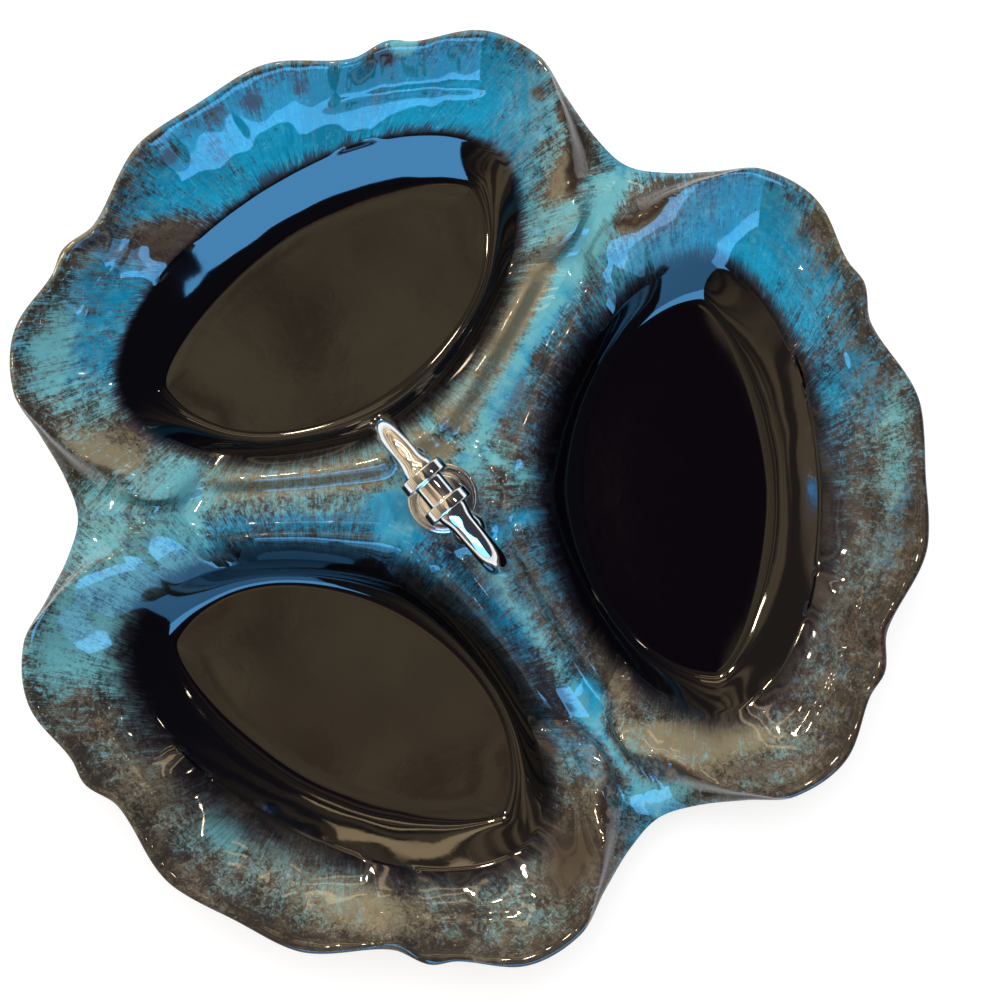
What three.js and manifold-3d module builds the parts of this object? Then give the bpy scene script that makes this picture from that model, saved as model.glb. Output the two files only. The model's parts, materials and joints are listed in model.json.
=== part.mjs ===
// Divided serving dish: a three-lobed glazed ceramic dish with three pointed wells,
// and a chrome loop handle held in its middle by one screw from below.
// Millimetres, +Z up. The dish stands on the XY plane with the middle of its box over the origin.
import * as THREE from 'three';
import { mergeVertices } from 'three/addons/utils/BufferGeometryUtils.js';
import Module from 'manifold-3d';

// Driving dimensions of the dish
const lobeCount = 3;
const lobeRadius = 167.8; // to the crest of the broad scallops
const scallops = [ // angle from a lobe's middle in degrees, and how far the rim is drawn in there
  [0, 1.3], [8, 0], [20, 8.1], [25, 4.1], [28, 5.5],
  [36, 1.9], [44, 8.6], [48.5, 19.5], [54, 28.8], [60, 33.1],
];
const rimHeight = 37.5; // where the lips would end if the rim didn't roll over
const rollWidth = 5.2; // the rim rolls over within this distance of the outline
const rollHeight = 5;
const rimEdge = 2; // height of the upright edge under the roll
const wall = 6; // thickness of the ceramic
const wellDistance = 91; // from the middle of the dish to the line through a well's two tips
const mouthLength = 160; // from tip to tip
const mouthSides = [39.5, 56.5]; // from the line of the tips to the mouth's outer and inner edge
const mouthPowers = [2, 1.75]; // 2 for half an ellipse, less for a more pointed half-oval
const mouthHeight = 16;
const floorLength = 130;
const floorSides = [21, 44.3];
const floorPowers = [1.6, 2];
const floorHeight = 7;
const underMouthOut = 0.85; // shares of the wall by which the underside's mouth line lies
const underMouthDown = 0.6; // outside and below that of the top
const footMargin = 1; // the flat foot is wider than the floor above it by this much all round
const fillet = 0.42; // width of the hollow between wall and floor, as a share of the wall's width
const innerWallPower = 1.3; // power of the wall's rise where the mouth is soft
const crispFrom = 0.535; // share of a groove's length where the mouth beside it starts to be crisp
const crispTo = 0.92;
const lipStart = 0.42; // share of the lips' climb that is a straight slope
const lipCurve = 2.5; // power of the rest of the climb
const ridgeHeight = 28.5; // crests on both sides of the grooves
const grooveHeight = 24;
const tongueHeight = 17.5; // the low places where the ridges end
const saddleHeight = 16.5; // the groove between those low places
const scrollHeight = 32; // the crests that turn in round the wells' tips, beside a notch
const webHeight = 23.5; // the groove between two scrolls
const notchHeight = 22.5;
const ribRise = 3.2; // ribs on the lip, either side of each lobe's middle
const ribWidth = 7;
const ribEnds = [[160, 20.5], [119, 15]]; // distance from the dish's middle and angle from the lobe's
const hubHeight = 25; // flat seat of the handle
const hubSeat = 15; // radius of the flat
const hubBlend = 10; // width of the slope round the flat
const holeRadius = 3.3;
const holeOffset = 3.2; // the hole is pierced this far from the dish's middle, away from the first lobe

// The crest round each well: where it lies between the mouth and the lobe's edge, its height, the edge's
// height, and how rounded it is; first along the rim by angle from the lobe's middle, then along a groove
// by share of the groove's length
const between = (from, to, share) => from + (to - from) * share;
const rimLine = [
  [0, 1, rimHeight, rimHeight, 0],
  [43, 1, rimHeight, rimHeight, 0],
  [49, 0.9, between(rimHeight, scrollHeight, 0.27), between(rimHeight, notchHeight, 0.3), 0.4],
  [54, 0.78, between(rimHeight, scrollHeight, 0.64), between(rimHeight, notchHeight, 0.7), 0.7],
  [60, 0.6, scrollHeight, notchHeight, 0.8],
];
const grooveLine = [
  [0, 0.45, ridgeHeight, grooveHeight, 1],
  [0.46, 0.45, ridgeHeight, grooveHeight, 1],
  [0.58, 0.45, between(ridgeHeight, tongueHeight, 0.04), between(grooveHeight, saddleHeight, 0.08), 1],
  [0.64, 0.45, between(ridgeHeight, tongueHeight, 0.26), between(grooveHeight, saddleHeight, 0.42), 1],
  [0.69, 0.5, tongueHeight, saddleHeight, 1],
  [0.722, 0.65, between(tongueHeight, scrollHeight, 0.07), saddleHeight, 1],
  [0.763, 0.78, between(tongueHeight, scrollHeight, 0.58), between(saddleHeight, webHeight, 0.58), 0.9],
  [0.824, 0.8, between(tongueHeight, scrollHeight, 0.81), webHeight, 0.8],
  [0.906, 0.72, between(tongueHeight, scrollHeight, 0.92), webHeight, 0.8],
  [0.978, 0.6, scrollHeight, notchHeight, 0.8],
];

// Driving dimensions of the handle and its fastening
const handleAngle = 127; // degrees from the first lobe to the plane of the loop
const seatGap = 0.05; // between faces that bear on each other
const fitGap = 0.35; // round the screw and the spool's pins
const screwRadius = 2.4;
const screwChamfer = 0.6;
const topGasketRadius = 11.6;
const topGasketThickness = 1.2;
const flangeRadius = 12.6;
const flangeRim = 2.6; // height of the flange's rolled edge
const flangeRimWidth = 1.7;
const flangePlate = 1.2;
const flangeEdge = 0.5; // break of the flange's lower edge
const flangeHollow = 0.25; // rise of the plate into the rolled edge
const bossRadius = 8.4;
const bossHeight = 4;
const bossRound = 1;
const footRadius = 6;
const footLand = 1; // height of the foot's straight base
const footHeight = 5; // from the boss to the middle of the bow's lowest point
const bowHalfWidth = 30.6; // to the middle of the bar
const bowHeight = 42; // between the middles of the bar at the foot and at the crown
const bowSquareness = 2.6; // 2 for an ellipse, more for squarer shoulders
const barRadius = 4.2;
const hornRadius = 5.6; // the bar flares to this at the crown
const hornLength = 9;
const footBarRadius = 5;
const beadRadius = 6.4;
const beadDistance = 14.4; // from the axis to a bead
const spoolRadius = 5.2;
const spoolLength = 8.2; // between the collars
const collarRadius = 8.5;
const collarThickness = 4.3;
const collarRound = 0.6;
const spoolPinRadius = 2.2;
const spoolPinLength = 3;
const lowerGasketRadius = 9;
const lowerGasketThickness = 1.5;
const washerRadius = 8;
const washerThickness = 1.2;
const lockWasherRadius = 4.7;
const lockWasherThickness = 1.3;
const lockWasherSlit = 1.2;
const screwHeadRadius = 4.6;
const screwHeadHeight = 3;
const screwHeadRound = 1.2;
const slotWidth = 1.2;
const slotDepth = 1.5;
const threadEngagement = 3.8; // length of screw inside the handle's foot

// Mesh fineness
const roundSides = 24;
const barSides = 14;
const barSteps = 48;
const beadSides = 16;
const hubStations = [0.5, 0.75, 1]; // shares of the flat seat where a groove has points
const innerGrooveSteps = 3; // from the seat's slope out to where the groove starts to fall
const holeSteps = 6; // round one lobe's share of the hole
const lipStations = [0.15, 0.32, 0.5, 0.66, 0.8, 0.9, 0.965, 1];
const wallStations = [0.25, 0.5, 0.75, 1];
const underLipStations = [0.35, 0.8, 1];
const underWallStations = [0.35, 0.7, 1];

const wasm = await Module();
wasm.setup();

// General helpers
const radians = THREE.MathUtils.degToRad;
const lerp = THREE.MathUtils.lerp;
const clamp = THREE.MathUtils.clamp;
const smooth = (x, from, to) => THREE.MathUtils.smoothstep(x, from, to);

function metal(color, roughness) {
  return new THREE.MeshStandardMaterial({ color, roughness, metalness: 1 });
}

function soft(color, roughness) {
  return new THREE.MeshStandardMaterial({ color, roughness, metalness: 0 });
}

function piece(name, geometry, material) {
  const mesh = new THREE.Mesh(geometry, material);
  mesh.name = name;
  return mesh;
}

// Positions only, with shared corners merged.
function welded(geometry) {
  const bare = geometry.clone();
  for (const name of Object.keys(bare.attributes)) {
    if (name !== 'position') bare.deleteAttribute(name);
  }
  return mergeVertices(bare, 1e-4);
}

function solid(geometry) {
  const closed = welded(geometry);
  return new wasm.Manifold(new wasm.Mesh({
    numProp: 3,
    vertProperties: new Float32Array(closed.attributes.position.array),
    triVerts: new Uint32Array(closed.index.array),
  }));
}

function geometryOf(manifold) {
  const { vertProperties, triVerts } = manifold.getMesh();
  const geometry = new THREE.BufferGeometry();
  geometry.setAttribute('position', new THREE.BufferAttribute(vertProperties, 3));
  geometry.setIndex(new THREE.BufferAttribute(triVerts, 1));
  return geometry;
}

// A turned piece about Z from a closed [radius, height] profile, walked with the solid on its left.
function turned(profile) {
  const points = [...profile, profile[0]].map(([r, z]) => new THREE.Vector2(r, z));
  return new THREE.LatheGeometry(points, roundSides).rotateX(Math.PI / 2);
}

function ring(inner, outer, low, high) {
  return turned([[inner, low], [outer, low], [outer, high], [inner, high]]);
}

// Corner points of a quarter round about [r, z], between two angles in degrees.
function arc(r, z, radius, from, to, steps) {
  return Array.from({ length: steps + 1 }, (_, i) => {
    const a = radians(lerp(from, to, i / steps));
    return [r + radius * Math.cos(a), z + radius * Math.sin(a)];
  });
}

// A smooth curve through rows of points that start with x, of one of their other columns, by cubic pieces;
// it is level at both ends and wherever the points turn back.
function curveThrough(rows, x, column = 1) {
  const last = rows.length - 1;
  const steep = (i) => (rows[i + 1][column] - rows[i][column]) / (rows[i + 1][0] - rows[i][0]);
  const slope = (i) => {
    if (i === 0 || i === last || steep(i - 1) * steep(i) <= 0) return 0;
    return (rows[i + 1][column] - rows[i - 1][column]) / (rows[i + 1][0] - rows[i - 1][0]);
  };
  const i = clamp(rows.findLastIndex((row) => row[0] <= x), 0, last - 1);
  const span = rows[i + 1][0] - rows[i][0];
  const t = clamp((x - rows[i][0]) / span, 0, 1);
  const cubic = (1 + 2 * t) * (1 - t) ** 2 * rows[i][column] + t * t * (3 - 2 * t) * rows[i + 1][column];
  return cubic + span * (t * (1 - t) ** 2 * slope(i) - t * t * (1 - t) * slope(i + 1));
}

// A surface from rows of points that all have the same length, as triangles.
function rowsToTriangles(rows, closed) {
  const triangles = [];
  for (let row = 0; row + 1 < rows.length; row++) {
    const count = rows[row].length;
    for (let i = 0; i < (closed ? count : count - 1); i++) {
      const next = (i + 1) % count;
      const [a, b] = [rows[row][i], rows[row][next]];
      const [c, d] = [rows[row + 1][i], rows[row + 1][next]];
      triangles.push([a, c, d], [a, d, b]);
    }
  }
  return triangles;
}

function trianglesToGeometry(triangles) {
  const geometry = new THREE.BufferGeometry();
  const positions = triangles.flat().flatMap((p) => [p.x, p.y, p.z]);
  geometry.setAttribute('position', new THREE.Float32BufferAttribute(positions, 3));
  return welded(geometry);
}

// The ceramic dish
const lobeSpan = 360 / lobeCount;
const halfSpan = lobeSpan / 2;
const angleScale = halfSpan / scallops.at(-1)[0]; // the scallops fill half a lobe
const hole = new THREE.Vector2(-holeOffset, 0);

const rimRadius = (degrees) => lobeRadius - curveThrough(scallops, Math.abs(degrees) / angleScale);
const grooveLength = rimRadius(halfSpan);

function polar(radius, degrees) {
  return new THREE.Vector2(Math.cos(radians(degrees)), Math.sin(radians(degrees))).multiplyScalar(radius);
}

// Distance from the middle of a well to its edge, along a direction measured from straight outwards.
// Two half-ovals with unlike depths and powers meet at the tips.
function ovalReach(length, sides, powers, direction) {
  const half = Math.cos(direction) > 0 ? 0 : 1;
  const along = Math.abs(Math.sin(direction)) / (length / 2);
  const across = Math.abs(Math.cos(direction)) / sides[half];
  return (along ** powers[half] + across ** powers[half]) ** (-1 / powers[half]);
}

// What a row of the crest's tables says at a place.
function crestAt(table, x) {
  const [share, crest, height, rounding] = [1, 2, 3, 4].map((column) => curveThrough(table, x, column));
  return { share, crest, height, rounding };
}

// The edge of one lobe, once round anticlockwise: along the rim, down the next groove to the hole,
// round the hole and out along the groove before. Each point has the crest's numbers on the way to it,
// and how soft the well's mouth is there.
function lobeEdge(middle) {
  const edge = [];
  const rimAngles = scallops.flatMap(([angle], i) => {
    return i ? [(scallops[i - 1][0] + angle) / 2, angle] : [angle];
  });
  for (const angle of [...rimAngles.slice(1).reverse().map((a) => -a), ...rimAngles]) {
    const point = polar(rimRadius(angle * angleScale), middle + angle * angleScale);
    edge.push({ point, ...crestAt(rimLine, Math.abs(angle)), soft: 0 });
  }
  const addInner = (point) => {
    const along = point.length() / grooveLength;
    edge.push({ point, ...crestAt(grooveLine, along), soft: 1 - smooth(along, crispFrom, crispTo) });
  };
  const grooves = [1, -1].map((side) => {
    const notch = polar(grooveLength, middle + side * halfSpan);
    const direction = notch.sub(hole);
    const length = direction.length();
    const at = (distance) => hole.clone().addScaledVector(direction, distance / length);
    const slopeEnd = hubSeat + hubBlend;
    const level = grooveLine[1][0] * length;
    const distances = [
      holeRadius, ...hubStations.map((share) => share * hubSeat), hubSeat + hubBlend / 2,
      ...Array.from({ length: innerGrooveSteps }, (_, i) => lerp(slopeEnd, level, i / innerGrooveSteps)),
      ...grooveLine.slice(1).map(([share]) => share * length),
    ];
    return { points: distances.map(at), angle: direction.angle() };
  });
  grooves[0].points.toReversed().forEach(addInner);
  const from = grooves[0].angle;
  const to = grooves[1].angle > from ? grooves[1].angle - 2 * Math.PI : grooves[1].angle;
  for (let i = 1; i < holeSteps; i++) {
    const angle = lerp(from, to, i / holeSteps);
    addInner(new THREE.Vector2(Math.cos(angle), Math.sin(angle)).multiplyScalar(holeRadius).add(hole));
  }
  grooves[1].points.forEach(addInner);
  return { edge, rimCount: 2 * rimAngles.length - 1, grooveCount: grooves[0].points.length };
}

// Rise of the ribs at a point of one lobe: bars that run in from the rim and sink into the lip.
function relief(point, middle) {
  let rise = 0;
  for (const side of [-1, 1]) {
    const turn = side * angleScale;
    const [start, end] = ribEnds.map(([distance, angle]) => polar(distance, middle + turn * angle));
    const line = end.sub(start);
    const offset = point.clone().sub(start);
    const share = clamp(offset.dot(line) / line.lengthSq(), 0, 1);
    const gap = offset.addScaledVector(line, -share).length();
    rise += ribRise * Math.exp(-((gap / ribWidth) ** 3)) * (1 - smooth(share, 0.5, 1));
  }
  return rise;
}

// How far the rim has rolled down at a distance from the outline, as a quarter of an ellipse.
function rolledDown(gap) {
  return rollHeight * (1 - Math.sqrt(1 - clamp(1 - gap / rollWidth, 0, 1) ** 2));
}

// Distance of a point from the outline, along the radius from the dish's middle.
function rimGap(point) {
  const degrees = THREE.MathUtils.radToDeg(point.angle());
  const fromNotch = THREE.MathUtils.euclideanModulo(degrees + halfSpan, lobeSpan);
  return rimRadius(fromNotch - halfSpan) - point.length();
}

// Share of a well wall's height at a share of its width: a hollow at the floor that runs out straight,
// a little steeper towards a soft mouth.
function wallRise(share, soft) {
  const eased = (Math.hypot(share, fillet) - fillet) / (Math.hypot(1, fillet) - fillet);
  return eased ** lerp(1, innerWallPower, soft);
}

// Height of a lip at a share of the way from a well's mouth to the lobe's edge: it climbs to the crest,
// ever steeper or rounded at the top, and sinks from there to the edge.
function lipHeight(share, edge, start, drop) {
  const crest = edge.crest - drop;
  if (share >= edge.share) {
    const down = (share - edge.share) / Math.max(1 - edge.share, 1e-6);
    return lerp(edge.height - drop, crest, (1 + Math.cos(Math.PI * Math.min(down, 1))) / 2);
  }
  const up = share / edge.share;
  const steeper = lerp(up ** lipCurve, up, lipStart);
  return lerp(start, crest, lerp(steeper, Math.sin((Math.PI / 2) * up), edge.rounding));
}

// The seat of the handle is flat, and the surface slopes into it.
function flattened(point, height, seat) {
  return lerp(seat, height, smooth(point.distanceTo(hole), hubSeat, hubSeat + hubBlend));
}

// Rows of points from the middle of a well out to its lobe's edge, on the top or on the underside.
function lobeRows(middle, under) {
  const centre = polar(wellDistance, middle);
  const { edge: edges, rimCount, grooveCount } = lobeEdge(middle);
  const seat = hubHeight - (under ? wall : 0);
  const low = under ? 0 : floorHeight;
  const high = mouthHeight - (under ? underMouthDown * wall : 0);
  const rays = edges.map((edge) => {
    const out = edge.point.clone().sub(centre);
    const reach = out.length();
    const direction = out.angle() - radians(middle);
    const floor = ovalReach(floorLength, floorSides, floorPowers, direction) + (under ? footMargin : 0);
    const mouth = ovalReach(mouthLength, mouthSides, mouthPowers, direction)
      + (under ? underMouthOut * wall : 0);
    const at = (distance) => centre.clone().addScaledVector(out, distance / reach);
    const place = (point, height) => new THREE.Vector3(point.x, point.y, flattened(point, height, seat));
    const column = [new THREE.Vector3(...at(floor), low)];
    for (const share of under ? underWallStations : wallStations) {
      column.push(place(at(lerp(floor, mouth, share)), lerp(low, high, wallRise(share, edge.soft))));
    }
    for (const share of under ? underLipStations : lipStations) {
      const point = share < 1 ? at(lerp(mouth, reach, share)) : edge.point;
      const gap = rimGap(point);
      const roll = rolledDown(gap);
      const drop = under ? Math.min(wall, rimEdge + rollHeight - roll) : 0;
      const moulded = share < 1 ? relief(point, middle) * smooth(gap, 0, rollWidth) : 0;
      column.push(place(point, lipHeight(share, edge, high, drop) - roll + moulded));
    }
    return column;
  });
  const rows = rays[0].map((_, row) => rays.map((column) => column[row]));
  return { rows, middlePoint: new THREE.Vector3(centre.x, centre.y, low), rimCount, grooveCount };
}

function dishGeometry() {
  const triangles = [];
  const flip = ([a, b, c]) => [a, c, b];
  for (let lobe = 0; lobe < lobeCount; lobe++) {
    const top = lobeRows(lobe * lobeSpan, false);
    const under = lobeRows(lobe * lobeSpan, true);
    for (const [side, turn] of [[top, (t) => t], [under, flip]]) {
      const first = side.rows[0];
      const fan = first.map((point, i) => [side.middlePoint, point, first[(i + 1) % first.length]]);
      triangles.push(...[...fan, ...rowsToTriangles(side.rows, true)].map(turn));
    }
    const edges = [top.rows.at(-1), under.rows.at(-1)];
    const holeStart = top.rimCount - 1 + top.grooveCount;
    for (const [from, to] of [[0, top.rimCount], [holeStart, holeStart + holeSteps + 1]]) {
      triangles.push(...rowsToTriangles(edges.map((edge) => edge.slice(from, to)), false));
    }
  }
  return trianglesToGeometry(triangles);
}

// The stack on the handle's axis, from the hub upwards and downwards
const gasketLow = hubHeight + seatGap;
const gasketHigh = gasketLow + topGasketThickness;
const flangeLow = gasketHigh + seatGap;
const bossLow = flangeLow + flangePlate + seatGap;
const footLow = bossLow + bossHeight + seatGap;
const bowLow = footLow + footHeight; // middle of the bow's lowest point
const crownHeight = bowLow + bowHeight;
const lowerGasketHigh = hubHeight - wall - seatGap;
const lowerGasketLow = lowerGasketHigh - lowerGasketThickness;
const washerHigh = lowerGasketLow - seatGap;
const lockWasherHigh = washerHigh - washerThickness - seatGap;
const headHigh = lockWasherHigh - lockWasherThickness - seatGap;
const screwTop = footLow + threadEngagement;
const screwClearance = screwRadius + fitGap;
const hornFace = spoolLength / 2 + collarThickness + seatGap; // from the axis to the bow's ends

function flangeGeometry() {
  const rimMiddle = flangeRadius - flangeRimWidth / 2;
  return turned([
    [screwClearance, flangeLow], [flangeRadius - flangeEdge, flangeLow],
    [flangeRadius, flangeLow + flangeEdge],
    ...arc(rimMiddle, flangeLow + flangeRim - flangeRimWidth / 2, flangeRimWidth / 2, 0, 180, 6),
    [rimMiddle - flangeRimWidth, flangeLow + flangePlate + flangeHollow],
    [bossRadius + fitGap, flangeLow + flangePlate], [screwClearance, flangeLow + flangePlate],
  ]);
}

function bossGeometry() {
  return turned([
    [screwClearance, bossLow], [bossRadius, bossLow],
    ...arc(bossRadius - bossRound, bossLow + bossHeight - bossRound, bossRound, 0, 90, 4),
    [screwClearance, bossLow + bossHeight],
  ]);
}

// Middle line of the bow in its own plane: a squared ellipse, from one horn round the foot to the other.
function bowPoint(angle) {
  const power = (value) => Math.sign(value) * Math.abs(value) ** (2 / bowSquareness);
  const x = bowHalfWidth * power(Math.cos(angle));
  return new THREE.Vector2(x, bowLow + (bowHeight / 2) * (1 + power(Math.sin(angle))));
}

// Bar radius: flared to the horns at the crown, slim at the sides and fuller at the foot.
function barRadiusAt(point) {
  const horn = 1 - smooth(Math.abs(point.x), hornFace, hornFace + hornLength);
  const foot = 1 - smooth(Math.abs(point.x), footRadius, bowHalfWidth);
  return point.y > bowLow + bowHeight / 2
    ? lerp(barRadius, hornRadius, horn ** 2)
    : lerp(barRadius, footBarRadius, foot);
}

function bowGeometry() {
  const start = Math.acos((hornFace / bowHalfWidth) ** (bowSquareness / 2));
  const end = -Math.PI - start;
  const angles = Array.from({ length: barSteps + 1 }, (_, i) => lerp(start, end, i / barSteps));
  const rows = angles.map((angle, i) => {
    const point = bowPoint(angle);
    const ahead = bowPoint(angles[Math.min(i + 1, barSteps)]);
    const along = ahead.sub(bowPoint(angles[Math.max(i - 1, 0)])).normalize();
    if (i === 0 || i === barSteps) along.set(Math.sign(along.x), 0);
    const radius = barRadiusAt(point);
    return Array.from({ length: barSides }, (_, side) => {
      const turn = (2 * Math.PI * side) / barSides;
      const inPlane = radius * Math.cos(turn);
      const [x, z] = [point.x - along.y * inPlane, point.y + along.x * inPlane];
      return new THREE.Vector3(x, radius * Math.sin(turn), z);
    });
  });
  const cap = (row, turn) => {
    const middle = row.reduce((sum, point) => sum.add(point), new THREE.Vector3()).divideScalar(barSides);
    return row.map((point, i) => turn([middle, point, row[(i + 1) % barSides]]));
  };
  const triangles = rowsToTriangles(rows, true);
  triangles.push(...cap(rows[0], (t) => t), ...cap(rows[barSteps], ([a, b, c]) => [a, c, b]));
  let bow = solid(trianglesToGeometry(triangles));
  const foot = turned([
    [0, footLow], [footRadius, footLow], [footRadius, footLow + footLand],
    [footBarRadius, bowLow], [0, bowLow],
  ]);
  bow = bow.add(solid(foot));
  const beadAngle = -Math.acos((beadDistance / bowHalfWidth) ** (bowSquareness / 2));
  const beadHeight = bowPoint(beadAngle).y;
  for (const side of [-1, 1]) {
    const bead = new THREE.SphereGeometry(beadRadius, beadSides, beadSides / 2);
    bow = bow.add(solid(bead.translate(side * beadDistance, 0, beadHeight)));
    const socketRadius = spoolPinRadius + fitGap;
    const socketLength = 2 * (spoolPinLength + fitGap);
    const socket = new THREE.CylinderGeometry(socketRadius, socketRadius, socketLength, barSides);
    bow = bow.subtract(solid(socket.rotateZ(Math.PI / 2).translate(side * hornFace, 0, crownHeight)));
  }
  const boreLength = 2 * (threadEngagement + fitGap);
  const bore = new THREE.CylinderGeometry(screwClearance, screwClearance, boreLength, roundSides);
  bow = bow.subtract(solid(bore.rotateX(Math.PI / 2).translate(0, 0, footLow)));
  return geometryOf(bow);
}

// A turned bobbin along X: two round collars, a waist between them and a pin at each end.
function spoolGeometry() {
  const half = spoolLength / 2;
  const outside = half + collarThickness;
  const end = outside + spoolPinLength;
  const side = [
    [spoolPinRadius, end], [spoolPinRadius, outside],
    ...arc(collarRadius - collarRound, outside - collarRound, collarRound, 90, 0, 2),
    ...arc(collarRadius - collarRound, half + collarRound, collarRound, 0, -90, 2),
    ...arc(spoolRadius + collarRound, half - collarRound, collarRound, 90, 180, 2),
  ];
  const other = side.map(([r, x]) => [r, -x]).reverse();
  const profile = [[0, end], ...side, ...other, [0, -end]].reverse();
  return turned(profile).rotateY(Math.PI / 2).translate(0, 0, crownHeight);
}

function lockWasherGeometry() {
  const half = Math.asin(lockWasherSlit / 2 / screwClearance);
  const shape = new THREE.Shape();
  shape.absarc(0, 0, lockWasherRadius, half, 2 * Math.PI - half, false);
  shape.absarc(0, 0, screwClearance, 2 * Math.PI - half, half, true);
  const options = { depth: lockWasherThickness, bevelEnabled: false, curveSegments: roundSides / 2 };
  return new THREE.ExtrudeGeometry(shape, options).translate(0, 0, lockWasherHigh - lockWasherThickness);
}

function screwGeometry() {
  const headLow = headHigh - screwHeadHeight;
  const roundMiddle = [screwHeadRadius - screwHeadRound, headLow + screwHeadRound];
  const body = turned([
    [0, headLow], ...arc(...roundMiddle, screwHeadRound, -90, 0, 4),
    [screwHeadRadius, headHigh], [screwRadius, headHigh], [screwRadius, screwTop - screwChamfer],
    [screwRadius - screwChamfer, screwTop], [0, screwTop],
  ]);
  const slot = new THREE.BoxGeometry(3 * screwHeadRadius, slotWidth, 2 * slotDepth);
  return geometryOf(solid(body).subtract(solid(slot.translate(0, 0, headLow))));
}

// The assembly: what stays with the dish, and what turns with the handle
const chrome = metal('#c9ccd0', 0.08);
const steel = metal('#9a9c9f', 0.35);
const rubber = soft('#1b1b1c', 0.8);
const glaze = soft('#1f6f7c', 0.12);

const dish = piece('dish', dishGeometry(), glaze);
const fixed = new THREE.Group().add(
  piece('top_gasket', ring(screwClearance, topGasketRadius, gasketLow, gasketHigh), rubber),
  piece('lower_gasket', ring(screwClearance, lowerGasketRadius, lowerGasketLow, lowerGasketHigh), rubber),
);
const turning = new THREE.Group().add(
  piece('base_flange', flangeGeometry(), chrome),
  piece('boss_collar', bossGeometry(), chrome),
  piece('handle_bow', bowGeometry(), chrome),
  piece('crown_spool', spoolGeometry(), chrome),
  piece('flat_washer', ring(screwClearance, washerRadius, washerHigh - washerThickness, washerHigh), steel),
  piece('lock_washer', lockWasherGeometry(), steel),
  piece('clamp_screw', screwGeometry(), steel),
);
for (const group of [fixed, turning]) group.position.set(hole.x, hole.y, 0);
turning.rotation.z = radians(handleAngle);

// The box of the lobed outline isn't centred on the dish's middle, so the whole is shifted to centre it.
dish.geometry.computeBoundingBox();
const boxMiddle = dish.geometry.boundingBox.getCenter(new THREE.Vector3());
const assembly = new THREE.Group().add(dish, fixed, turning);
assembly.position.set(-boxMiddle.x, -boxMiddle.y, 0);
const servingDish = new THREE.Group().add(assembly);

export default servingDish;
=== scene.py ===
import json
import math

import bpy
import numpy as np
from mathutils import Euler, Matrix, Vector


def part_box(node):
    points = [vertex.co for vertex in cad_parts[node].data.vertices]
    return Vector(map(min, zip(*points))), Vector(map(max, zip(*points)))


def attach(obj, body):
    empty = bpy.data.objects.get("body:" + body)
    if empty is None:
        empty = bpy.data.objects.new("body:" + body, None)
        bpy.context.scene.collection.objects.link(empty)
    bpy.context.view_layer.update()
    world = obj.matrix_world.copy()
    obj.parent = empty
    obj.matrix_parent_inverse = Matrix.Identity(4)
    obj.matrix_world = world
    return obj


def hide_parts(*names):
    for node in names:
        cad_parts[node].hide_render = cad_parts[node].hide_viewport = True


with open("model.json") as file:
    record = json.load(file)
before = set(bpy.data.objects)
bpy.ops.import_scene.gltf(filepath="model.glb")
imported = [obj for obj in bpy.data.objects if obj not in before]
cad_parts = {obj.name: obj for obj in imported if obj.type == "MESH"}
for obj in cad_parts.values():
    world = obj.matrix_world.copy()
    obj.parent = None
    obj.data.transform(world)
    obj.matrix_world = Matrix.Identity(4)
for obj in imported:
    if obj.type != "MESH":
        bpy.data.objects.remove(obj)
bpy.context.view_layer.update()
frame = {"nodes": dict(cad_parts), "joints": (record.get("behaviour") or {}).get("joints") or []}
scene = bpy.context.scene
scene.view_settings.view_transform = "Standard"
mm = 0.001  # shapes are worked out in millimetres and put into meshes in metres
handleAxis = np.array(frame["joints"][0]["pos_m"]) / mm  # where the handle stands on the dish
lobes, lobeTurn = 3, 120  # repeats round the dish's middle, and degrees between them
print("frame loaded:", len(frame["nodes"]), "solids")

# Camera, nearly straight above the dish
cameraView = {
    "spanAtRim": 349.2,  # width of the picture at the rim's height
    "distance": 1000.0,  # from the rim's height up to the lens
    "aim": (20.25, -2.0),  # where the picture's middle meets the rim's height, from the handle's axis
    "lean": (26.0, -46.0),  # how far the lens lies right of the aim and up from it in the picture
    "roll": -2.7,  # degrees
    "sensor": 36.0,
}


def addObject(name, data):
    made = bpy.data.objects.new(name, data)
    scene.collection.objects.link(made)
    return made


def makeCamera(view):
    data = bpy.data.cameras.new("camera")
    data.sensor_width = view["sensor"]
    data.lens = view["sensor"] * view["distance"] / view["spanAtRim"]
    camera = addObject("camera", data)
    aim = (Vector(handleAxis) + Vector((*view["aim"], 0))) * mm
    aim.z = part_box("dish")[1].z
    lens = Vector((*view["lean"], view["distance"]))
    pitch, yaw = math.asin(-lens.y / lens.length), math.atan2(lens.x, lens.z)
    turn = Euler((pitch, yaw, math.radians(view["roll"])))
    camera.rotation_euler = turn
    camera.location = aim + Euler((0, 0, turn.z)).to_matrix() @ lens * mm
    scene.camera = camera


makeCamera(cameraView)
print("camera placed")


# Shader expressions
class Value:  # a node's output, for use in plain sums and products
    def __init__(self, bench, socket):
        self.bench, self.socket = bench, socket

    def operator(operation, reflected=False):
        def apply(self, other):
            pair = [other, self] if reflected else [self, other]
            return self.bench.node("ShaderNodeMath", {"operation": operation}, pair)
        return apply

    __add__, __radd__ = operator("ADD"), operator("ADD", True)
    __sub__, __rsub__ = operator("SUBTRACT"), operator("SUBTRACT", True)
    __mul__, __rmul__ = operator("MULTIPLY"), operator("MULTIPLY", True)


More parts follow.
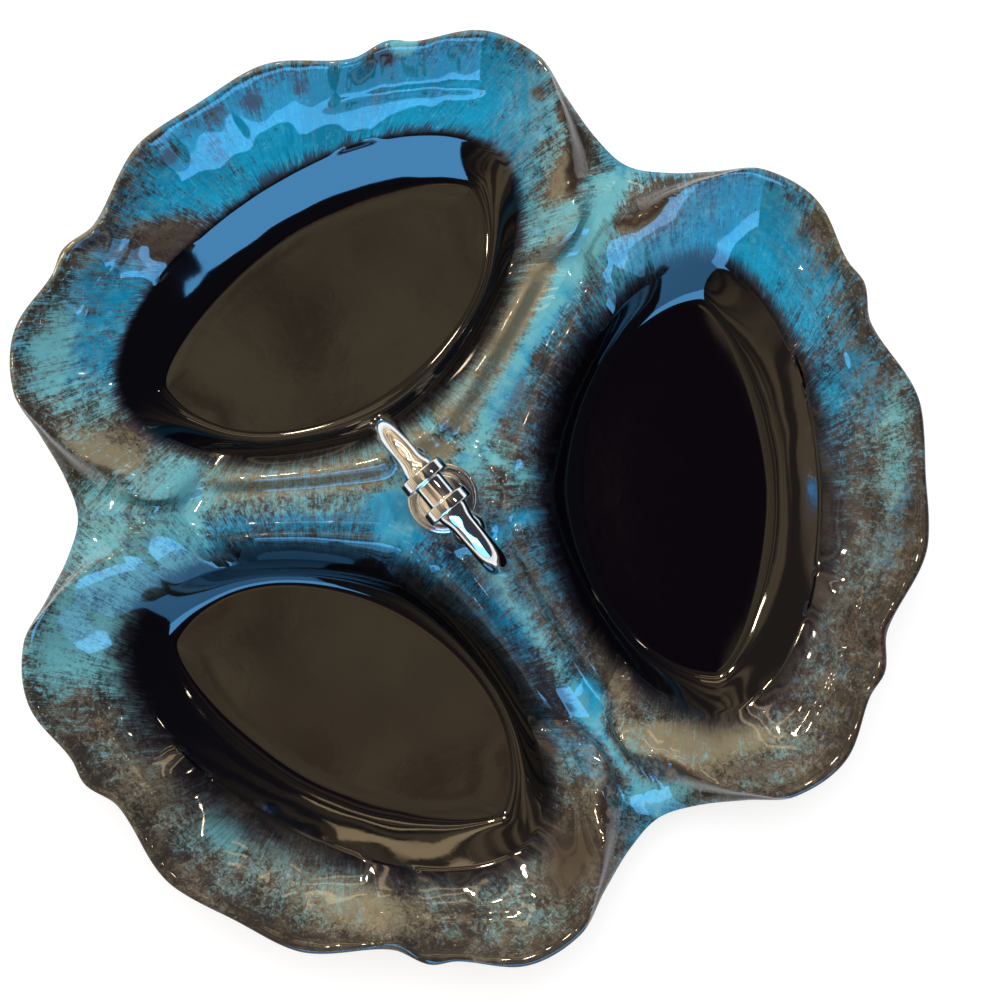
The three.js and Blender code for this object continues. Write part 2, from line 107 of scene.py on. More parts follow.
class Bench:  # builds one node tree
    def __init__(self, tree):
        self.tree = tree
        tree.nodes.clear()

    def node(self, kind, settings=None, inputs=None, output=0):
        made = self.tree.nodes.new(kind)
        for name, setting in (settings or {}).items():
            setattr(made, name, setting)
        pairs = inputs.items() if isinstance(inputs, dict) else enumerate(inputs or [])
        for key, given in pairs:
            if isinstance(given, Value):
                self.tree.links.new(given.socket, made.inputs[key])
            else:
                made.inputs[key].default_value = given
        return Value(self, made.outputs[output] if made.outputs else None)

    def blend(self, share, first, second):  # colours
        return self.node("ShaderNodeMix", {"data_type": "RGBA"}, {0: share, 6: first, 7: second}, 2)

    def rise(self, value, low, high):  # 0 at low and 1 at high, an S curve between
        smoothStep = {"interpolation_type": "SMOOTHSTEP"}
        return self.node("ShaderNodeMapRange", smoothStep, [value, low, high, 0.0, 1.0])

    def noise(self, vector, scale, detail=3.0, roughness=0.55, distortion=0.0):
        return self.node("ShaderNodeTexNoise", {}, {
            "Vector": vector, "Scale": scale, "Detail": detail,
            "Roughness": roughness, "Distortion": distortion,
        })

    def field(self, name, output="Fac"):  # a number or vector of each point
        return self.node("ShaderNodeAttribute", {"attribute_name": name}, {}, output)

    def place(self):
        return self.node("ShaderNodeTexCoord", {}, {}, "Object")

    def stretch(self, vector, factors):
        return self.node("ShaderNodeVectorMath", {"operation": "MULTIPLY"}, [vector, factors])

    def bump(self, strength, distance, height):
        return self.node("ShaderNodeBump", {}, {"Strength": strength, "Distance": distance, "Height": height})


def srgb(code):  # "#rrggbb" as a linear colour
    parts = np.array([int(code[i:i + 2], 16) for i in (1, 3, 5)]) / 255
    linear = np.where(parts < 0.04045, parts / 12.92, ((parts + 0.055) / 1.055) ** 2.4)
    return (*linear.tolist(), 1.0)


def newFinish(name):
    material = bpy.data.materials.new(name)
    material.use_nodes = True
    return material, Bench(material.node_tree)


def surfaceOf(bench, inputs):
    shader = bench.node("ShaderNodeBsdfPrincipled", {}, inputs)
    bench.node("ShaderNodeOutputMaterial", {}, {"Surface": shader})


# Numbers on whole arrays
def smooth(x, low, high):  # 0 at low and 1 at high, an S curve between; low may be the greater
    t = np.clip((x - low) / (high - low), 0, 1)
    return t * t * (3 - 2 * t)


def mix(first, second, share):
    return first + (second - first) * share


def polar(radius, degrees):  # plan points from a radius and an angle
    turn = np.radians(degrees)
    return np.stack([radius * np.cos(turn), radius * np.sin(turn)], axis=-1)


def angleOf(points):  # degrees round the origin
    return np.degrees(np.arctan2(points[..., 1], points[..., 0]))


def turnPlan(points, degrees):  # plan points turned about the origin
    c, s = math.cos(math.radians(degrees)), math.sin(math.radians(degrees))
    return points @ np.array([[c, s], [-s, c]])


def curveThrough(points, x):
    # Cubic pieces through [x, y] points, level at both ends and wherever the points turn back
    xs, ys = np.array(points, float).T
    steep = np.diff(ys) / np.diff(xs)
    slope = np.zeros_like(ys)
    slope[1:-1] = np.where(steep[:-1] * steep[1:] > 0, (ys[2:] - ys[:-2]) / (xs[2:] - xs[:-2]), 0)
    i = np.clip(np.searchsorted(xs, x, side="right") - 1, 0, len(xs) - 2)
    span = xs[i + 1] - xs[i]
    t = (x - xs[i]) / span
    ends = (1 + 2 * t) * (1 - t) ** 2 * ys[i] + t * t * (3 - 2 * t) * ys[i + 1]
    return ends + span * (t * (1 - t) ** 2 * slope[i] - t * t * (1 - t) * slope[i + 1])


# Meshes from whole arrays
weldStep = 0.001  # points nearer than this, in millimetres, become one


def gridTriangles(rows, columns, closed):
    # Two triangles for each cell of a grid of points; closed joins the last column to the first
    across = np.arange(columns if closed else columns - 1)
    row, column = np.meshgrid(np.arange(rows - 1), across, indexing="ij")
    after = (column + 1) % columns
    a, b = row * columns + column, (row + 1) * columns + column
    c, d = (row + 1) * columns + after, row * columns + after
    return np.concatenate([np.stack(half, -1).reshape(-1, 3) for half in ((a, b, c), (a, c, d))])


def weld(points, triangles):
    # Points that lie together become one, and triangles without area go
    key = np.round(points / weldStep).astype(np.int64)
    _, first, inverse = np.unique(key, axis=0, return_index=True, return_inverse=True)
    a, b, c = (inverse.reshape(-1)[triangles[:, k]] for k in range(3))
    real = (a != b) & (b != c) & (c != a)
    return points[first], np.stack([a, b, c], -1)[real], first, real


def makeMesh(name, points, triangles, sharpAngle=40):
    mesh = bpy.data.meshes.new(name)
    mesh.vertices.add(len(points))
    mesh.vertices.foreach_set("co", (points * mm).astype(np.float32).ravel())
    mesh.loops.add(triangles.size)
    mesh.loops.foreach_set("vertex_index", triangles.astype(np.int32).ravel())
    mesh.polygons.add(len(triangles))
    mesh.polygons.foreach_set("loop_start", np.arange(0, triangles.size, 3, dtype=np.int32))
    mesh.polygons.foreach_set("use_smooth", np.ones(len(triangles), dtype=bool))
    mesh.update(calc_edges=True)
    mesh.validate()
    mesh.set_sharp_from_angle(angle=math.radians(sharpAngle))
    return mesh


def makePiece(name, mesh, material, body, node):
    mesh.materials.append(material)
    piece = addObject(name, mesh)
    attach(piece, body)
    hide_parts(node)


# The ceramic dish
dishShape = {
    "lobeRadius": 167.5,
    "scallops": [  # angle from a lobe's middle, and how far the rim is drawn in there
        (0, 1.3), (8, 0), (20, 8.1), (25, 4.1), (28, 5.5), (36, 1.9), (44, 8.6), (48.5, 19.5), (54, 28.8),
        (60, 33.1),
    ],
    # Where a lip's crest lies between mouth and edge, heights of crest and edge, and how round the crest is:
    "rimLine": [  # by angle from a lobe's middle
        (0, 1.0, 37.5, 37.5, 0.0), (43, 1.0, 37.5, 37.5, 0.0), (49, 0.88, 36.0, 33.0, 0.4),
        (54, 0.7, 33.4, 27.0, 0.7), (60, 0.5, 30.8, 22.5, 0.8),
    ],
    "grooveLine": [  # along a groove, by distance from the dish's middle
        (0, 0.45, 28.5, 24.0, 1.0), (62, 0.45, 28.5, 24.0, 1.0), (78, 0.45, 27.6, 22.0, 1.0),
        (86, 0.45, 25.0, 19.3, 1.0), (93, 0.5, 17.5, 16.5, 1.0), (97.3, 0.65, 18.5, 16.5, 1.0),
        (102.8, 0.78, 26.0, 20.5, 0.9), (111, 0.8, 29.5, 23.5, 0.8), (122, 0.66, 30.4, 23.5, 0.8),
        (131.7, 0.5, 30.8, 22.5, 0.8),
    ],
    "wall": 6.0, "rimRoll": (5.2, 5.0), "rimEdge": 2.0,
    "notchRoll": 14.0, "notchAngles": (47, 56),  # the rim's wider droop between lobes, and where
    "wellDistance": 91.0,  # from the dish's middle to the line through a well's tips
    # Half-ovals outside and inside that line
    "mouth": {"length": 160.0, "sides": (39.5, 56.5), "powers": (2.0, 1.75)},
    "floor": {"length": 130.0, "sides": (21.0, 44.3), "powers": (1.6, 2.0)},
    "mouthHeight": 16.0, "floorHeight": 7.0,
    "underMouthOut": 0.85, "underMouthDown": 0.6, "footMargin": 1.0,
    "fillet": 0.42, "innerWallPower": 1.3,  # shapes of the wells' walls
    "innerMouth": (72, 124),  # along a groove, where the mouth's edge turns from soft to crisp
    "sinkWidth": 0.5,  # share of the way from a crest to the edge in which it sinks
    "lipStart": 0.42, "lipCurve": 2.5,  # share of the lips' climb that is straight, and the power of the rest
    "hubHeight": 25.0, "hubSeat": 15.0, "hubBlend": 10.0, "holeRadius": 3.3, "holeOffset": 3.2,
    "rimRays": 192, "grooveRays": 46, "grooveCrowding": 1.4, "holeRays": 10,
    "rows": (5, 18, 54), "underRows": (3, 6, 14), "lipCrowding": 1.5,  # on floor, wall and lip
    "sharpAngle": 32,
}
reliefShape = {
    "edge": 3.0,  # nothing is moulded on the last of the rim
    "rib": {  # ends as radius and angle; heights on each lobe's two sides
        "from": (160, 20.5), "to": (119, 15), "width": 7.0, "fade": (1.0, 0.5),
        "rises": ((2.2, 2.2), (3.2, 1.4), (2.6, 2.2)),
    },
    # Angle from a lobe's middle, radius and height of each mound, and half its length and width
    "rimRibs": {
        "places": ((24.4, 157, 1.1), (29.6, 151, 0.9), (34.5, 157, 0.6), (22.0, 150, 0.5)), "size": (8, 3.4),
    },
    "knobs": {
        "places": ((2.1, 152, 0.35), (6.1, 157, 0.6), (12.8, 156, 0.6), (9.5, 160, 0.3)), "size": (5.5, 3.4),
    },
    "fold": {"radius": 146.5, "width": 1.7, "from": 17, "to": 34, "fade": 4, "rise": 0.8},
    "channel": {"points": ((20.5, 52), (21.5, 33), (26, 17), (31, 13)), "width": 2.4, "rise": -1.7},
    "ripple": {
        "rise": 0.13, "shortest": 10, "longest": 36, "waves": 28, "seed": 11,
        "onWalls": 0.25, "wallWidth": 9, "lipWidth": 8,  # its share on walls, and where it fades in
    },
}


def rimRadius(d, degrees):
    return d["lobeRadius"] - curveThrough(d["scallops"], np.abs(degrees))


def lobeAngle(points):  # degrees from the nearest lobe's middle
    return (angleOf(points) + lobeTurn / 2) % lobeTurn - lobeTurn / 2


def ovalReach(oval, direction):
    # From a well's middle to its edge: two half-ovals with unlike depths and powers meet at the tips
    outer = np.cos(direction) > 0
    side, power = (np.where(outer, *oval[name]) for name in ("sides", "powers"))
    along, across = np.abs(np.sin(direction)) / (oval["length"] / 2), np.abs(np.cos(direction)) / side
    return (along ** power + across ** power) ** (-1 / power)


def lobeEdge(d, middle):
    # Once round a lobe: along the rim, in along a groove, round the hole and out along the other groove.
    # With each point come the crest's place, the heights of crest and edge, its rounding,
    # and how soft the well's mouth is
    half = lobeTurn / 2
    angle = np.linspace(-half, half, d["rimRays"] + 1)
    hole = np.array([-d["holeOffset"], 0.0])
    t = (np.arange(d["grooveRays"]) / d["grooveRays"]) ** d["grooveCrowding"]
    grooves, turns = [], []
    for side in (1, -1):
        notch = polar(rimRadius(d, half), middle + side * half)
        out = notch - hole
        start = hole + out * d["holeRadius"] / np.linalg.norm(out)
        grooves.append(start + np.outer(t, notch - start))
        turns.append(math.atan2(out[1], out[0]))
    if turns[1] > turns[0]:
        turns[1] -= 2 * math.pi
    bore = np.degrees(np.linspace(turns[0], turns[1], d["holeRays"] + 1)[1:-1])
    inner = np.concatenate([grooves[0][::-1], hole + polar(d["holeRadius"], bore), grooves[1]])
    away = np.linalg.norm(inner, axis=1)
    rimTable, grooveTable = np.array(d["rimLine"]), np.array(d["grooveLine"])
    line = [
        np.concatenate([
            curveThrough(rimTable[:, [0, k]], np.abs(angle)),
            curveThrough(grooveTable[:, [0, k]], np.minimum(away, grooveTable[-1, 0])),
        ]) for k in (1, 2, 3, 4)
    ]
    soft = np.concatenate([0 * angle, 1 - smooth(away, *d["innerMouth"])])
    return np.concatenate([polar(rimRadius(d, angle), middle + angle), inner]), line, soft


def wallRise(d, share, soft):
    # Share of a well wall's height at a share of its width: a hollow at the floor runs out straight,
    # and steeper where the mouth is soft
    hollow = d["fillet"]
    eased = (np.sqrt(share ** 2 + hollow ** 2) - hollow) / (math.sqrt(1 + hollow ** 2) - hollow)
    return eased ** mix(1, d["innerWallPower"], soft)


def lipRise(d, share, line, mouthHeight, drop):
    # From the mouth the lip climbs to a crest, ever steeper or rounded at the top,
    # and sinks to the edge as a cosine
    crestShare, crest, edge, rounding = line
    up = np.minimum(share / crestShare, 1)
    steeper = mix(up ** d["lipCurve"], up, d["lipStart"])
    climb = mix(mouthHeight, crest - drop, mix(steeper, np.sin(np.pi / 2 * up), rounding))
    past = (share - crestShare) / np.maximum(1 - crestShare, 1e-6)
    down = np.clip(past / d["sinkWidth"], 0, 1)
    sink = mix(edge - drop, crest - drop, (1 + np.cos(np.pi * down)) / 2)
    return np.where(share < crestShare, climb, sink)


def rimGap(d, points):
    # Distance from the outline, along the radius from the dish's middle
    return rimRadius(d, lobeAngle(points)) - np.linalg.norm(points, axis=-1)


def rollOver(d, gap, points):
    # The rim rolls down to the outline as a quarter of an ellipse, drawn out to a parabola where lobes meet
    width, height = d["rimRoll"]
    notch = smooth(np.abs(lobeAngle(points)), *d["notchAngles"])
    near = np.clip(1 - gap / mix(width, d["notchRoll"], notch), 0, 1)
    return height * mix(1 - np.sqrt(1 - near ** 2), near ** 2, notch)


def mound(points, centre, degrees, length, width):
    # A flat-topped oval mound: 1 in its middle, with its length along a direction
    local = turnPlan(points - centre, -degrees)
    spread = (local[..., 0] / length) ** 2 + (local[..., 1] / width) ** 2
    return np.exp(-spread ** 1.5)


def alongLine(points, corners):
    # Distance to a line through a few corners, and the share of its length at the nearest point
    corners = np.array(corners, float)
    lengths = np.linalg.norm(np.diff(corners, axis=0), axis=1)
    before = np.concatenate([[0], np.cumsum(lengths)])
    best, share = np.full(points.shape[:-1], np.inf), np.zeros(points.shape[:-1])
    for i, length in enumerate(lengths):
        step = (corners[i + 1] - corners[i]) / length
        along = np.clip((points - corners[i]) @ step, 0, length)
        gap = np.linalg.norm(points - corners[i] - along[..., None] * step, axis=-1)
        share = np.where(gap < best, (before[i] + along) / before[-1], share)
        best = np.minimum(best, gap)
    return best, share


def relief(points):
    # Rise of everything that is moulded on the lips: on both sides of each lobe a rib, mounds by the rim,
    # a fold along the lip and a channel by the hub; and where the mounds are
    rib, fold, channel = (reliefShape[name] for name in ("rib", "fold", "channel"))
    ribLine = [polar(*rib["from"]), polar(*rib["to"])]
    channelLine = [polar(*place) for place in channel["points"]]
    rise, mounds = np.zeros(points.shape[:-1]), np.zeros(points.shape[:-1])
    fromFold = (np.linalg.norm(points, axis=-1) - fold["radius"]) / fold["width"]
    for lobe in range(lobes):
        local = turnPlan(points, -lobeTurn * lobe)
        for side, ribRise in zip((1, -1), rib["rises"][lobe]):
            half = local * np.array([1, side])
            gap, share = alongLine(half, ribLine)
            rise += ribRise * np.exp(-(gap / rib["width"]) ** 3) * smooth(share, *rib["fade"])
            for group in (reliefShape["rimRibs"], reliefShape["knobs"]):
                for degrees, distance, height in group["places"]:
                    raised = mound(half, polar(distance, degrees), degrees, *group["size"])
                    rise += height * raised
                    mounds = np.maximum(mounds, raised)
            begins = smooth(angleOf(half), fold["from"] - fold["fade"], fold["from"])
            ends = smooth(angleOf(half), fold["to"] + fold["fade"], fold["to"])
            rise += fold["rise"] * begins * ends * np.exp(-fromFold ** 2)
            gap, _ = alongLine(half, channelLine)
            rise += channel["rise"] * np.exp(-(gap / channel["width"]) ** 2)
    return rise, mounds


def ripple(points):
    # Slow unevenness of the glaze: a sum of plane waves in seeded directions
    r = reliefShape["ripple"]
    draw = np.random.default_rng(r["seed"])
    length = draw.uniform(r["shortest"], r["longest"], r["waves"])
    wave = polar(2 * np.pi / length, draw.uniform(0, 360, r["waves"]))
    start = draw.uniform(0, 2 * np.pi, r["waves"])
    return r["rise"] * math.sqrt(2 / r["waves"]) * np.sin(points @ wave.T + start).sum(-1)


def lobeSurface(d, middle, under):
    # Rows of points from a well's middle out to its lobe's edge, on the top or on the underside,
    # with what the glaze needs to know at each point, and each point's place along the glaze's flow
    edge, line, soft = lobeEdge(d, middle)
    centre = polar(d["wellDistance"], middle)
    out = edge - centre
    reach = np.linalg.norm(out, axis=1)
    direction = np.arctan2(out[:, 1], out[:, 0]) - math.radians(middle)
    floor = ovalReach(d["floor"], direction) + (d["footMargin"] if under else 0)
    mouth = ovalReach(d["mouth"], direction) + (d["underMouthOut"] * d["wall"] if under else 0)
    low = 0.0 if under else d["floorHeight"]
    high = d["mouthHeight"] - (d["underMouthDown"] * d["wall"] if under else 0)
    floorRows, wallRows, lipRows = d["underRows" if under else "rows"]
    floorShare = np.linspace(0, 1, floorRows)[:, None]
    wallShare = np.linspace(0, 1, wallRows + 1)[1:, None]
    lipShare = 1 - (1 - np.linspace(0, 1, lipRows + 1)[1:, None]) ** d["lipCrowding"]
    distance = np.concatenate([floorShare * floor, mix(floor, mouth, wallShare), mix(mouth, reach, lipShare)])
    plan = centre + out * (distance / reach)[..., None]
    lipPlan = plan[-lipRows:]
    gap = rimGap(d, lipPlan)
    moulded, mounds = relief(lipPlan)
    moulded = moulded * smooth(gap, 0, reliefShape["edge"])
    roll = rollOver(d, gap, lipPlan)
    drop = np.minimum(d["wall"], d["rimEdge"] + d["rimRoll"][1] - roll) if under else 0.0
    z = np.concatenate([
        np.full((floorRows, len(edge)), low),
        mix(low, high, wallRise(d, wallShare, soft)),
        lipRise(d, lipShare, line, high, drop) - roll + moulded,
    ])
    away = np.linalg.norm(plan - np.array([-d["holeOffset"], 0]), axis=-1)
    hub = smooth(away, d["hubSeat"], d["hubSeat"] + d["hubBlend"])
    z = mix(d["hubHeight"] - (d["wall"] if under else 0), z, hub)
    if not under:
        r = reliefShape["ripple"]
        onWalls = r["onWalls"] * smooth(distance - floor, 0, r["wallWidth"])
        z = z + ripple(plan) * hub * mix(onWalls, 1, smooth(distance - mouth, 0, r["lipWidth"]))
    pastCrest = lipShare - line[0]

    def withWell(numbers, inWell):  # one number all over the well, and others on the lip
        return np.concatenate([np.full((floorRows + wallRows, len(edge)), float(inWell)), numbers])

    fields = {
        "out": distance - mouth,  # beyond the well's mouth, negative inside it
        "rimGap": withWell(gap, 60),
        "soft": np.broadcast_to(soft, distance.shape),
        "rounding": np.broadcast_to(line[3], distance.shape),
        "raised": withWell(moulded, 0),
        "mounds": withWell(mounds, 0),
        "lobe": np.full(distance.shape, middle / lobeTurn),
        "crestGap": withWell(pastCrest * (reach - mouth), -30),
        "sunk": withWell(np.clip(pastCrest / np.maximum(1 - line[0], 0.02), 0, 1), 0),
        "under": np.full(distance.shape, float(under)),
    }
    brink = np.broadcast_to(centre + out * (mouth / reach)[:, None], plan.shape)
    flow = np.concatenate([brink, fields["out"][..., None]], axis=-1)
    return np.concatenate([plan, z[..., None]], axis=-1), fields, flow


def dishSurface(d):
    # Top, underside, the rim's narrow edge and the hole's wall of all lobes, as one closed skin
    points, triangles, flows, fields = [], [], [], {}

    def add(grid, gridFields, flow, corners):
        triangles.append(corners + sum(map(len, points)))
        points.append(grid.reshape(-1, 3))
        flows.append(flow.reshape(-1, 3))
        for name, numbers in gridFields.items():
            fields.setdefault(name, []).append(numbers.reshape(-1))

    def lastRows(upper, lower, part):
        return np.stack([upper[-1, part], lower[-1, part]])

    first = d["rimRays"] + d["grooveRays"]
    outline, hole = slice(0, d["rimRays"] + 1), slice(first, first + d["holeRays"] + 1)
    for lobe in range(lobes):
        top, topFields, topFlow = lobeSurface(d, lobeTurn * lobe, False)
        under, underFields, underFlow = lobeSurface(d, lobeTurn * lobe, True)
        add(top, topFields, topFlow, gridTriangles(*top.shape[:2], True))
        add(under, underFields, underFlow, gridTriangles(*under.shape[:2], True)[:, ::-1])
        for part in (outline, hole):
            sides = lastRows(top, under, part)
            sideFields = {name: lastRows(topFields[name], underFields[name], part) for name in topFields}
            sideFlow = lastRows(topFlow, underFlow, part)
            add(sides, sideFields, sideFlow, gridTriangles(*sides.shape[:2], False))
    triangles = np.concatenate(triangles)
    joined, corners, first, real = weld(np.concatenate(points), triangles)
    fields = {name: np.concatenate(numbers)[first] for name, numbers in fields.items()}
    return joined, corners, fields, np.concatenate(flows)[triangles[real]]


glazeLook = {
    "byAngle": {  # angle round the picture, and an amount there
        "turquoise": (  # how much of it lies on the lips
            (0, 0.5), (14, 0.58), (30, 0.7), (40, 0.9), (52, 0.62), (62, 0.7), (74, 0.58), (85, 0.84),
            (105, 0.86), (123, 0.82), (136, 0.64), (148, 0.72), (160, 0.68), (170, 0.46), (178, 0.68),
            (188, 0.68), (202, 0.66), (214, 0.6), (224, 0.38), (240, 0.42), (262, 0.4), (283, 0.4),
            (296, 0.46), (306, 0.42), (320, 0.36), (340, 0.35),
        ),
        "sea": (  # how green it is
            (0, 0.3), (30, 0.15), (52, 0.4), (62, 0.85), (74, 0.6), (85, 0.1), (115, 0.1), (140, 0.3),
            (158, 0.3), (168, 0.8), (178, 0.95), (188, 0.7), (202, 0.85), (214, 0.7), (226, 0.8),
            (284, 0.85), (298, 0.3), (310, 0.85), (335, 0.6),
        ),
        "black": (  # how far it reaches out of the wells, in millimetres
            (0, 8), (30, 5), (60, 5), (80, 3), (90, 2), (150, 2), (175, 4), (200, 6), (218, 17), (232, 17),
            (245, 11), (275, 9), (303, 6), (330, 9),
        ),
        "fur": (  # how streaked the glaze is
            (0, 0.35), (25, 0.8), (60, 0.9), (90, 1), (150, 1), (175, 0.7), (210, 0.6), (235, 0.3),
            (300, 0.4),
        ),
        "pool": ((60, 0.82), (180, 0.55), (300, 0.72)),  # how much turquoise lies in the grooves
        "dusk": (  # how dark the ground is
            (0, 0.6), (20, 0.85), (50, 0.8), (62, 0.4), (80, 0.2), (180, 0.2), (210, 0.4), (230, 0.2),
            (300, 0.1), (340, 0.4),
        ),
    },
    "inner": {  # the same on the inner side of each well in turn
        # Inner olive is partly the glaze's olive-brown and partly a painted warm sheen
        "turquoise": (0.43, 0.42, 0.56), "sea": (0.3, 0.8, 0.15), "olive": (0.2, 0.95, 0.0),
        "black": (6.5, 6, 10), "dusk": (0.4, 0.0, 0.75), "fur": (0.55, 0.55, 0.55),
    },
    # Patches as the picture shows them, in millimetres from the dish's middle: place, half length and width,
    # angle, and how much more turquoise, green, olive and dark they have, as far as they do
    "patches": (
        (-20, -2, 9.2, 5.6, 0, 0.5, -0.4, -0.9), (-54, -134, 38.7, 14.1, -25, 0, 0, 0.75, -0.1),
        # The olive of the patch at (94, -85) is a painted warm sheen on the right-hand lobe's lower lip
        (-107, -99, 24.6, 14.1, -50, -0.05, 0.2, 0.7), (94, -85, 31.7, 8.4, 0, 0, 0.2, 0.8),
        (-18, 159, 7, 3.2, 10, 0.3, 0.9), (94, -96, 28.2, 3.5, 5, -0.15, 0, 0, 0.3),
        (-100, 92, 16.2, 9.2, 15, -0.55, 0.2, 0.1, 0.55), (-71, 141, 4.6, 3.2, 30, -0.2, 0, 0, 0.7),
        (-101, 121, 4.2, 2.8, 45, -0.2, 0, 0, 0.6), (-54, 146, 3.5, 2.5, 20, -0.1, 0, 0, 0.5),
        (-24, 156, 4.6, 3.2, 0, -0.2, 0, 0, 0.6), (-84, 136, 4.2, 3.2, 30, -0.2, 0, 0, 0.5),
        (31, 143, 4.2, 3.2, -40, -0.25, 0, 0, 0.6), (40, 135, 4.2, 2.8, -50, -0.25, 0, 0, 0.6),
        (43, 118, 15.8, 5.6, 60, -0.45, 0.3, 0.2, 0.4), (29, 74, 24.6, 4.9, 62, -0.3, 0.3, 0.4, 0.1),
        (-121, 19, 19.4, 12.7, 10, -0.3, 0.5, 0.6), (-107, 26, 14.1, 3.2, 10, -0.4, 0, 0, 0.6),
        (-94, -3, 12.7, 4.9, 90, 0.35, 0.6), (-133, 88, 10.6, 6.3, 40, -0.25, 0.2, 0.2, 0.1),
        (-143, 58, 21.1, 7.7, 80, 0, 0.5), (69, 101, 12, 9.2, 20, -0.5, 0.2, 0.1, 0.45),
        (56, 105, 7, 5.6, 90, 0.1, 0.6), (131, 95, 15.5, 9.2, -55, -0.3, 0.2, 0.1, 0.2),
        (156, 21, 24.6, 5.6, 85, 0.12, 0.7), (143, 3, 35.2, 9.9, 88, -0.08, 0.3, 0, 0.25),
        # The olive of the patch at (87, -84) is a painted warm sheen on the same lip
        (87, -84, 24.6, 6.3, 0, -0.1, 0.3, 0.7), (56, -57, 21.1, 6.3, -63, -0.35, 0, 0.5, 0.1),
        (-128, -78, 14.1, 10.6, -50, -0.25, 0.3, 0.3, 0.2), (-81, -118, 8.4, 5.6, -40, 0.35, 0.5),
        (-22, -146, 24.6, 9.2, -10, -0.1, 0, 0.6), (35, -67, 17.6, 6.3, -63, -0.25, 0.2, 0.3, 0.1),
        (48, -71, 7.7, 5.6, 90, 0.6), (43, -123, 21.1, 10.6, 70, -0.1, 0.4, -0.3, 0.7),
        (24, -39, 24.6, 7, -55, -0.05, 0.1, 0, 0.1), (73, -104, 14.1, 4.9, 15, 0.4, 0.2),
        (17, 10, 14.1, 12, 90, 0.02, 0.6, 0, 0.1), (-18, -9, 13.4, 7.7, 70, 0.5, 0.3),
        (-4, 21, 14.1, 6.3, 30, -0.15, 0.6, 0.2, 0.1), (3, -21, 9.2, 4.2, -40, -0.2, 0.3, 0, 0.2),
        (41, 81, 31.7, 7, 62, 0.25, 0.2), (-71, -3, 38.7, 4.2, 0, -0.08, 0.2, 0.1),
    ),
    "spread": {  # where each part of the glaze fades in, in millimetres
        "ridgeSide": (-15, -4), "ridgeTop": (1, -2), "crest": (1.0, 2.4), "rimBand": (11.0, 1.0),
        "rimLine": (3.4, 1.4), "comb": (10, 0), "dusk": (28, 6), "thickest": 3, "channelDepth": 1.5,
        "hollow": (0.5, 1.0),  # as a share of the way from a ridge to the groove
    },
    "thinning": {"raised": 0.05, "rimBand": 0.3, "spots": 0.3},  # how much turquoise goes there
    # The olive amounts on the ridges and on the rim's outer roll are partly the glaze's olive-brown and
    # partly a painted warm sheen
    "ridgeSea": 0.5, "ridgeOliveSheen": 0.9, "rimOliveSheen": 0.75, "grooveSea": 0.5, "grooveDusk": 0.4,
    "moundSpots": 0.3, "crestSpots": 0.6, "innerSpots": 0.4,  # the last is the share left by the wells
    # Noises along the flow: stretch each way, detail, roughness and distortion; and others in all directions
    "runs": {
        "streak": ((0.75, 0.75, 0.07), 4.0, 0.62, 0.3), "thread": ((2.4, 2.4, 0.22), 2.0, 0.6, 0.25),
        "sheet": ((0.14, 0.14, 0.05), 2.0, 0.5, 0.4),
    },
    "specks": {
        "fleck": (480.0, 3.0, 0.65, 1.2), "grain": (720.0, 3.0, 0.6, 1.0), "mottle": (160.0, 4.0, 0.6, 0.6),
        "cloud": (42.0, 3.0, 0.55, 0.4),
    },
    # Each colour, where it begins and is full as its driver rises, and how strongly it covers
    "layers": {
        "deep": (srgb("#0a84ac"), 0.36, 0.66, 1.0), "sea": (srgb("#6cb4bd"), 0.25, 0.8, 1.0),
        "brown": (srgb("#685f52"), 0.34, 0.66, 1.0), "dusk": (srgb("#2d2a38"), 0.1, 1.0, 1.0),
        # olive is partly the glaze's own olive-brown and partly a painted warm sheen
        "olive": (srgb("#8d846a"), 0.35, 1.1, 0.8), "pale": (srgb("#a8d2d6"), 0.58, 0.74, 0.16),
        "spot": (srgb("#33281f"), 0.25, 0.75, 0.85), "comb": (srgb("#33293a"), 0.15, 0.75, 0.8),
        "violet": (srgb("#262026"), -1.6, -0.35, 0.85), "black": (srgb("#040308"), -0.9, 0.2, 1.0),
    },
    "turquoise": srgb("#14a0cc"), "darkBrown": srgb("#342f2a"), "clay": srgb("#b9a184"),
    "cover": (0.24, 0.8),  # where the turquoise begins to cover its ground, and where it does so fully
    "footHeight": (0.0006, 0.0012),  # bare clay below this, in metres
    "roughness": 0.05, "bareRoughness": 0.6, "mottleRoughness": 0.03, "ior": 1.5,
    "uneven": (0.05, 0.0006),  # strength and depth of the fine bumps
}


